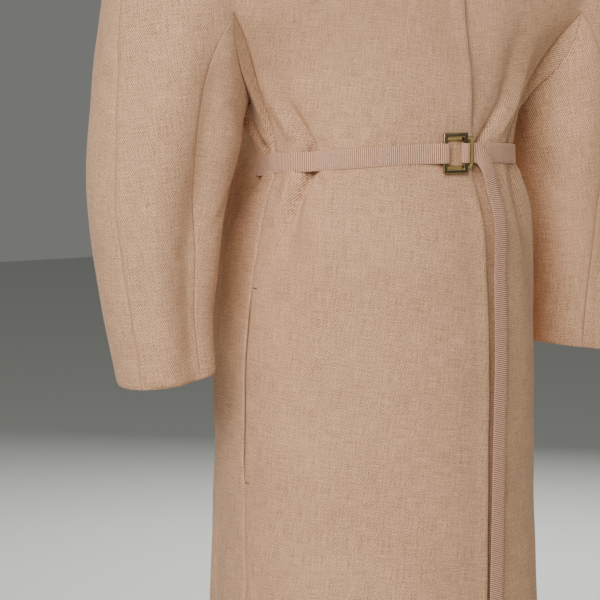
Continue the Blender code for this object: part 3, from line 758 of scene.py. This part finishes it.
# Grosgrain belt: a 20 mm ribbon, woven with thick weft cords that make ribs across it and
# sewn into both side-back seams. Its right end is folded round the buckle's bar and sewn
# down, and its left end is threaded through both rings and hangs free.
RIBBON_WIDTH = 20 * MM
RIBBON_THICK = 0.9 * MM
RIB_PITCH = 2.0 * MM
RIB_CELLS = 6  # sections along one rib
RIB_RISE = 0.3 * MM
SELVEDGE = 0.25 * MM  # how far each cord bulges at the ribbon's edge
WARP_RUN = 6.25 * MM
WARP_PER_MM = 2.6
# Section of the ribbon: how far across and how far up its points lie, as shares of its half
RIBBON_SECTION = [(-1, 0.4), (-0.96, 1), (-0.5, 1), (0, 1), (0.5, 1), (0.96, 1), (1, 0.4)]


def ribbon_edges(node):
    """Upper and lower edge of a CAD ribbon, from its seam on, section by section."""
    strip = bmesh.new()
    strip.from_mesh(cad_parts[node].data)
    bmesh.ops.remove_doubles(strip, verts=strip.verts[:], dist=0.005 * MM)
    ends = [vert for vert in strip.verts if len(vert.link_edges) < 6]
    first = max(ends, key=lambda vert: vert.co.y)
    section = sorted(ends, key=lambda vert: (vert.co - first.co).length)[:4]
    met = set(section)
    pairs = []
    while section:
        a, b, c, d = (vert.co for vert in section)
        splits = (((a, b), (c, d)), ((a, c), (b, d)), ((a, d), (b, c)))
        split = min(splits, key=lambda two: sum((p - q).length for p, q in two))
        one, two = ((p + q) / 2 for p, q in split)
        if pairs:
            upper, lower = pairs[-1]
            straight = (one - upper).length + (two - lower).length
            crossed = (two - upper).length + (one - lower).length
            if crossed < straight:
                one, two = two, one
        elif one.z < two.z:
            one, two = two, one
        pairs.append((one, two))
        linked = {edge.other_vert(vert) for vert in section for edge in vert.link_edges}
        section = list(linked - met)
        met |= linked
    strip.free()
    return np.array([upper for upper, _ in pairs]), np.array([lower for _, lower in pairs])


def through(points, knots, at):
    """Smooth curve through points, read at distances along it."""
    slopes = np.gradient(points, knots, axis=0)
    i = np.clip(np.searchsorted(knots, at, side="right") - 1, 0, len(knots) - 2)
    step = (knots[i + 1] - knots[i])[:, None]
    t = (at - knots[i])[:, None] / step
    start = (2 * t**3 - 3 * t**2 + 1) * points[i] + (t**3 - 2 * t**2 + t) * step * slopes[i]
    end = (3 * t**2 - 2 * t**3) * points[i + 1] + (t**3 - t**2) * step * slopes[i + 1]
    return start + end


def object_of(name, shape):
    """New object with a built shape as its mesh."""
    mesh = bpy.data.meshes.new(name)
    shape.to_mesh(mesh)
    shape.free()
    piece = bpy.data.objects.new(name, mesh)
    bpy.context.scene.collection.objects.link(piece)
    return piece


def grosgrain_ribbon(node):
    """Ribbed ribbon along a CAD ribbon's route, with its threads' run and side as its UV.
    Returns its object, its length and its route."""
    upper, lower = ribbon_edges(node)
    middle = (upper + lower) / 2
    knots = np.concatenate([[0], np.cumsum(np.linalg.norm(np.diff(middle, axis=0), axis=1))])
    run = np.linspace(0, knots[-1], int(knots[-1] / RIB_PITCH * RIB_CELLS))
    middle = through(middle, knots, run)
    half = through((upper - lower) / 2, knots, run)
    half *= RIBBON_WIDTH / 2 / np.linalg.norm(half, axis=1)[:, None]
    out = np.cross(np.gradient(middle, axis=0), half)
    out /= np.linalg.norm(out, axis=1)[:, None]
    rib = np.sin(math.pi * run / RIB_PITCH) ** 2
    section = RIBBON_SECTION + [(across, -up) for across, up in reversed(RIBBON_SECTION)]
    strip = bmesh.new()
    thread = strip.loops.layers.uv.new("thread")
    rings = []
    for i in range(len(run)):
        swell = 1 + SELVEDGE * 2 / RIBBON_WIDTH * (rib[i] - 1)
        thick = RIBBON_THICK / 2 + RIB_RISE * (rib[i] - 1)
        rings.append(
            [
                strip.verts.new(middle[i] + half[i] * across * swell + out[i] * up * thick)
                for across, up in section
            ]
        )
    for i in range(len(run) - 1):
        for j in range(len(section)):
            k = (j + 1) % len(section)
            corners = ((i, j), (i + 1, j), (i + 1, k), (i, k))
            face = strip.faces.new([rings[a][b] for a, b in corners])
            face.smooth = True
            for loop, (a, b) in zip(face.loops, corners):
                loop[thread].uv = (run[a], section[b][0] * RIBBON_WIDTH / 2)
    strip.faces.new(rings[0])
    strip.faces.new(rings[-1][::-1])
    bmesh.ops.recalc_face_normals(strip, faces=strip.faces[:])
    return object_of("ribbon_" + node, strip), knots[-1], (middle, half, out, run)


def grosgrain_weave(name, groove_painted_shade, crest_painted_highlight):
    """Woven grosgrain of polyester, with fine warp threads along it. Its colour is painted lighter on each
    rib's crest, as a painted highlight where the ribs catch the light, and darker in the hollows between
    the ribs, as painted shade."""
    weave = bpy.data.materials.new(name)
    weave.use_nodes = True
    tree = weave.node_tree
    shader = tree.nodes["Principled BSDF"]
    thread = add(tree, "ShaderNodeUVMap", uv_map="thread").outputs["UV"]
    rib = add(
        tree,
        "ShaderNodeTexWave",
        {"Vector": thread, "Scale": 2 * math.pi / 20 / RIB_PITCH},
        bands_direction="X",
    ).outputs["Fac"]
    along = add(tree, "ShaderNodeMapping", {"Vector": thread, "Scale": (1 / WARP_RUN, WARP_PER_MM / MM, 1)})
    warp = add(
        tree,
        "ShaderNodeTexNoise",
        {"Vector": along.outputs["Vector"], "Scale": 1.0, "Detail": 2.0},
        noise_dimensions="2D",
    ).outputs["Fac"]
    tone = add(tree, "ShaderNodeMath", {0: warp, 1: 0.7, 2: -0.35}, operation="MULTIPLY_ADD").outputs[0]
    # Adding the rib wave paints each rib's crest light and the hollows dark: painted highlight and painted
    # shade
    tone = add(tree, "ShaderNodeMath", {0: rib, 1: tone}, operation="ADD").outputs[0]
    colour = add(
        tree, "ShaderNodeMix", {0: tone, 6: linear(groove_painted_shade), 7: linear(crest_painted_highlight)}, data_type="RGBA"
    ).outputs[2]
    tree.links.new(colour, shader.inputs["Base Color"])
    bump = add(tree, "ShaderNodeBump", {"Height": warp, "Strength": 0.3, "Distance": 0.1 * MM})
    tree.links.new(bump.outputs["Normal"], shader.inputs["Normal"])
    shader.inputs["Roughness"].default_value = 0.75
    shader.inputs["Specular IOR Level"].default_value = 0.3
    shader.inputs["Sheen Weight"].default_value = 0.1
    return weave


# First colour: painted shade in the hollows between the ribs; second: painted highlight on their crests
grosgrain = grosgrain_weave("grosgrain_painted_rib_light", "#62402D", "#DFAE8E")
routes = {}
for node in ("belt_right", "belt_left"):
    ribbon, ribbon_length, routes[node] = grosgrain_ribbon(node)
    ribbon.data.materials.append(grosgrain)
    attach(ribbon, "root")
    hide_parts(node)

# Buckle: two pieces of cast brass, patinated dark, with their narrow bevels coloured lighter: edge wear,
# together with a painted highlight where the bevels catch the light. A square frame that the right
# ribbon is sewn to, and a thinner ring behind it, made wholly of the lighter brass, that the left ribbon is
# drawn round.
BEVEL_WIDTH = 1.0 * MM  # strips narrower than this are the bevels
PATCH = MM / 0.26  # spots of patina are about this wide


def brass(name, dark, light, roughness):
    """Cast brass: a metal with a soft gloss that the patina makes a little uneven."""
    metal = bpy.data.materials.new(name)
    metal.use_nodes = True
    tree = metal.node_tree
    shader = tree.nodes["Principled BSDF"]
    place = add(tree, "ShaderNodeTexCoord").outputs["Object"]
    patches = add(tree, "ShaderNodeTexNoise", {"Vector": place, "Scale": 1 / PATCH, "Detail": 4.0})
    tone = add(
        tree,
        "ShaderNodeMix",
        {0: patches.outputs["Fac"], 6: linear(dark), 7: linear(light)},
        data_type="RGBA",
    )
    tree.links.new(tone.outputs[2], shader.inputs["Base Color"])
    bump = add(
        tree,
        "ShaderNodeBump",
        {"Height": patches.outputs["Fac"], "Strength": 0.05, "Distance": 0.1 * MM},
    )
    tree.links.new(bump.outputs["Normal"], shader.inputs["Normal"])
    shader.inputs["Metallic"].default_value = 1
    shader.inputs["Roughness"].default_value = roughness
    return metal


RING_BAR = 3.7 * MM
RING_BEND = 4.5 * MM  # outer radius of the ring's corners
RING_LIFT = 0.9 * MM  # lifts the ring's outer bar clear of the ribbon below it
RING_CHAMFER = 0.28  # of its thickness
BEND_STEPS = 6


def frame_shape(cast):
    """The square frame as its CAD solid has it, in whole faces."""
    cast.from_mesh(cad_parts["buckle_frame"].data)
    bmesh.ops.remove_doubles(cast, verts=cast.verts[:], dist=0.005 * MM)
    bmesh.ops.join_triangles(
        cast,
        faces=cast.faces[:],
        angle_face_threshold=math.radians(3),
        angle_shape_threshold=math.radians(180),
    )


def ring_shape(cast):
    """A flat bar with bevelled edges, bent round to the outline of the CAD ring."""
    # The ring's own directions: across, up and out of its plane
    points = np.array([v.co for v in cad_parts["buckle_ring"].data.vertices])
    middle = (points.min(axis=0) + points.max(axis=0)) / 2
    _, _, ways = np.linalg.svd(points - points.mean(axis=0), full_matrices=False)
    across, up, out = ways
    across = across if abs(across[2]) < abs(up[2]) else up
    across = across * math.copysign(1, across[0])
    out = out * math.copysign(1, -out[1])
    up = np.cross(out, across)
    spots = (points - middle) @ np.column_stack([across, up, out])
    middle = middle + np.column_stack([across, up, out]) @ ((spots.min(axis=0) + spots.max(axis=0)) / 2)
    half_width, half_height, half_thick = np.ptp(spots, axis=0) / 2
    chamfer = RING_CHAMFER * half_thick * 2
    rings = []
    # The bar's section: how far in from the outline and how far out of the plane
    profile = (
        (0, -half_thick + chamfer), (0, half_thick - chamfer), (chamfer, half_thick),
        (RING_BAR - chamfer, half_thick), (RING_BAR, half_thick - chamfer),
        (RING_BAR, -half_thick + chamfer), (RING_BAR - chamfer, -half_thick), (chamfer, -half_thick),
    )
    for corner in range(4):
        for step in range(BEND_STEPS + 1):
            turn = math.radians(corner * 90 + step * 90 / BEND_STEPS)
            way = np.array([math.cos(turn), math.sin(turn)])
            side = np.sign([math.cos(math.radians(corner * 90 + 45)), 1.5 - corner])
            hub = side * (half_width - RING_BEND, half_height - RING_BEND)
            ring = []
            for inset, lift in profile:
                x, y = hub + way * (RING_BEND - inset)
                lift += RING_LIFT * (x / half_width + 1) / 2
                ring.append(cast.verts.new(middle + across * x + up * y + out * lift))
            rings.append(ring)
    for near, far in zip(rings, rings[1:] + rings[:1]):
        for i in range(len(profile)):
            j = (i + 1) % len(profile)
            cast.faces.new((near[i], far[i], far[j], near[j]))
    bmesh.ops.recalc_face_normals(cast, faces=cast.faces[:])


patina = brass("brass_cast_patinated", "#4B4335", "#5F5441", 0.38)
# Lighter brass for the bevels, where it is edge wear together with a painted highlight, and for the whole
# ring
bright = brass("brass_bevel_wear_painted_highlight", "#917848", "#AE9460", 0.3)
for node, shape_of in (("buckle_frame", frame_shape), ("buckle_ring", ring_shape)):
    cast = bmesh.new()
    shape_of(cast)
    for face in cast.faces:
        widths = sorted(edge.calc_length() for edge in face.edges)
        # Bevels and the ring take the lighter brass; on the bevels it is partly a painted highlight
        lighter_brass = node == "buckle_ring" or widths[0] < BEVEL_WIDTH
        face.material_index = int(lighter_brass)
        face.smooth = True
    piece = object_of("brass_" + node, cast)
    piece.data.set_sharp_from_angle(angle=math.radians(30))
    piece.data.materials.append(patina)
    piece.data.materials.append(bright)
    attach(piece, "root")
    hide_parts(node)

# Sewing: pick stitches, of thread that matches the beige cloth, run beside the right front's edge, their
# thread coloured dark brown as painted shade for the small dimples where the stitches sink in; dark-red bar
# tacks close both ends of the pocket, pale thread tacks show where the hidden fastening is sewn,
# and a row of brown stitches holds the belt's fold.
THREAD_SIDES = 5
STITCH_STEPS = 5
RAY_START = 0.2
trees = {}


def hits(node, spots, way):
    """Where rays along a direction meet a wool panel, with the cloth's normal there."""
    mesh = wool[node].data
    tree = trees.get(node)
    if tree is None:
        tree = BVHTree.FromPolygons(
            [v.co for v in mesh.vertices], [list(p.vertices) for p in mesh.polygons]
        )
        trees[node] = tree
    found = []
    for spot in spots:
        place, normal, _, _ = tree.ray_cast(Vector(spot) - Vector(way) * RAY_START, Vector(way))
        if place is not None:
            found.append((place, normal if normal.dot(Vector(way)) < 0 else -normal))
    return found


def stitch(shape, start, end, normal, radius):
    """One stitch: a round thread that rises out of the cloth and dips into it again."""
    way = (end - start).normalized()
    side = normal.cross(way).normalized()
    rings = []
    for step in range(STITCH_STEPS + 1):
        t = step / STITCH_STEPS
        arch = math.sin(math.pi * t)
        centre = start.lerp(end, t) + normal * radius * (1.6 * arch - 1.1)
        ring = []
        for corner in range(THREAD_SIDES):
            turn = 2 * math.pi * corner / THREAD_SIDES
            ring.append(
                shape.verts.new(centre + (side * math.cos(turn) + normal * math.sin(turn)) * radius)
            )
        rings.append(ring)
    for near, far in zip(rings, rings[1:]):
        for corner in range(THREAD_SIDES):
            after = (corner + 1) % THREAD_SIDES
            shape.faces.new((near[corner], near[after], far[after], far[corner])).smooth = True
    shape.faces.new(rings[0][::-1])
    shape.faces.new(rings[-1])


def sewing_thread(name, code):
    """Spun thread, matt with a little fuzz."""
    spun = bpy.data.materials.new(name)
    spun.use_nodes = True
    shader = spun.node_tree.nodes["Principled BSDF"]
    shader.inputs["Base Color"].default_value = linear(code)
    shader.inputs["Roughness"].default_value = 0.8
    shader.inputs["Sheen Weight"].default_value = 0.1
    return spun


def sewn(name, stitches, material, radius):
    """All stitches of one kind as one object that rides on the coat."""
    shape = bmesh.new()
    for start, end, normal in stitches:
        stitch(shape, start, end, normal, radius)
    bmesh.ops.recalc_face_normals(shape, faces=shape.faces[:])
    piece = object_of(name, shape)
    piece.data.materials.append(material)
    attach(piece, "root")
    return piece


PICK_X = 0.0315  # the line of the pick stitches
PICK_TOP, PICK_FOOT = -0.030, -1.120
PICK_PITCH = 6.5 * MM
PICK_LENGTH = 1.7 * MM
PICK_RADIUS = 0.3 * MM
INWARD = (0, 1, 0)
pick_levels = np.arange(PICK_TOP, PICK_FOOT, -PICK_PITCH)
starts = hits("front_right", [(PICK_X, 0, z) for z in pick_levels], INWARD)
ends = hits("front_right", [(PICK_X, 0, z - PICK_LENGTH) for z in pick_levels], INWARD)
# The pick stitches' dark brown colour is painted shade for the dimples they pull into the cloth
sewn(
    "pick_stitches",
    [(a[0], b[0], a[1]) for a, b in zip(starts, ends)],
    sewing_thread("pick_thread_painted_dimple_shade", "#7A5A45"),
    PICK_RADIUS,
)

FOLD_SEAM = 14.5 * MM  # how far from the fold the ribbon is sewn down
FOLD_STITCHES = 7
FOLD_REACH = 0.94  # of half the ribbon's width
FOLD_RADIUS = 0.36 * MM
middle, half, out, run = routes["belt_right"]
fold = int(np.argmax(middle[:, 0]))
rows = np.searchsorted(run, (run[fold] - FOLD_SEAM, run[fold] + FOLD_SEAM))
row = int(min(rows, key=lambda i: middle[i][1]))
outward = Vector(out[row]) * math.copysign(1, -out[row][1])
centre = Vector(middle[row]) + outward * RIBBON_THICK / 2
line = [centre + Vector(half[row]) * s for s in np.linspace(-FOLD_REACH, FOLD_REACH, 2 * FOLD_STITCHES)]
sewn(
    "fold_stitches",
    [(start, end, outward) for start, end in zip(line[::2], line[1::2])],
    sewing_thread("polyester_thread_brown", "#5E3F2F"),
    FOLD_RADIUS,
)

BAR_TACKS = ((-0.0235, -0.5245), (-0.0190, -0.7225))  # how far back and at what level
TACK_LENGTH, TACK_WIDTH = 7.0 * MM, 1.6 * MM
TACK_WRAPS = 20
TACK_SLOPE = -0.12
TACK_RADIUS = 0.26 * MM
SIDEWAYS = (1, 0, 0)
tacks = []
for y, z in BAR_TACKS:
    for wrap in range(TACK_WRAPS):
        along = (wrap / (TACK_WRAPS - 1) - 0.5) * TACK_LENGTH
        level = z - along * TACK_SLOPE
        spots = [(-0.16, y + along, level + s * TACK_WIDTH / 2) for s in (-1, 1)]
        pair = hits("front_right", spots, SIDEWAYS)
        if len(pair) == 2:
            tacks.append((pair[0][0], pair[1][0], pair[0][1]))
sewn("bar_tacks", tacks, sewing_thread("polyester_thread_dark_red", "#7E2A20"), TACK_RADIUS)

THREAD_TACKS = ((0.000, -0.309), (0.001, -0.445), (-0.007, -0.583), (-0.002, -0.730), (0.0, -0.175))
MARK_TURNS = (35, 70, 110)  # each mark is three short stitches that cross at these degrees
MARK_REACH = 1.5 * MM
MARK_RADIUS = 0.34 * MM
marks = []
for x, z in THREAD_TACKS:
    for turn in MARK_TURNS:
        dx = MARK_REACH * math.cos(math.radians(turn))
        dz = MARK_REACH * math.sin(math.radians(turn))
        pair = hits("front_right", [(x - dx, 0, z - dz), (x + dx, 0, z + dz)], INWARD)
        marks.append((pair[0][0], pair[1][0], pair[0][1]))
sewn("thread_tacks", marks, sewing_thread("cotton_thread_pale", "#D2BBA4"), MARK_RADIUS)

# Studio: a pale plaster floor below the coat, a wide soft light on the coat's right side, a
# weak one opposite, a broad one behind and an even pale surround.
FLOOR_LEVEL = -1.45
FLOOR_HALF = 9
floor_shape = bmesh.new()
bmesh.ops.create_grid(floor_shape, x_segments=1, y_segments=1, size=FLOOR_HALF)
bmesh.ops.translate(floor_shape, verts=floor_shape.verts[:], vec=(0, 0, FLOOR_LEVEL))
floor = object_of("floor", floor_shape)
plaster = bpy.data.materials.new("plaster_floor_pale")
plaster.use_nodes = True
matt = plaster.node_tree.nodes["Principled BSDF"]
matt.inputs["Base Color"].default_value = linear("#C9CAC4")
matt.inputs["Roughness"].default_value = 0.9
floor.data.materials.append(plaster)


def soft_light(name, place, target, power, size):
    """Square area light that points at a place on the coat."""
    lamp = bpy.data.lights.new(name, "AREA")
    lamp.energy = power
    lamp.size = size
    holder = bpy.data.objects.new(name, lamp)
    holder.location = place
    holder.rotation_euler = (Vector(target) - Vector(place)).to_track_quat("-Z", "Y").to_euler()
    bpy.context.scene.collection.objects.link(holder)


CHEST = (0, 0, -0.45)
soft_light("key", (-2.5, -2.1, 1.3), CHEST, 218, 1.9)
soft_light("fill", (1.9, -2.9, 0.4), CHEST, 20, 2.0)
soft_light("back", (2.3, 2.5, 1.0), CHEST, 150, 2.2)
world = bpy.data.worlds.new("studio")
bpy.context.scene.world = world
world.use_nodes = True
surround = world.node_tree.nodes["Background"]
surround.inputs["Color"].default_value = linear("#D4D6D2")
surround.inputs["Strength"].default_value = 0.27

CAMERA_PLACE = (-1.498, -2.248, -0.245)
CAMERA_TILT, CAMERA_TURN = 83.6, -32
LENS, SENSOR = 156, 36
eye = bpy.data.cameras.new("camera")
eye.lens = LENS
eye.sensor_width = SENSOR
camera = bpy.data.objects.new("camera", eye)
camera.location = CAMERA_PLACE
camera.rotation_euler = (math.radians(CAMERA_TILT), 0, math.radians(CAMERA_TURN))
bpy.context.scene.collection.objects.link(camera)
bpy.context.scene.camera = camera
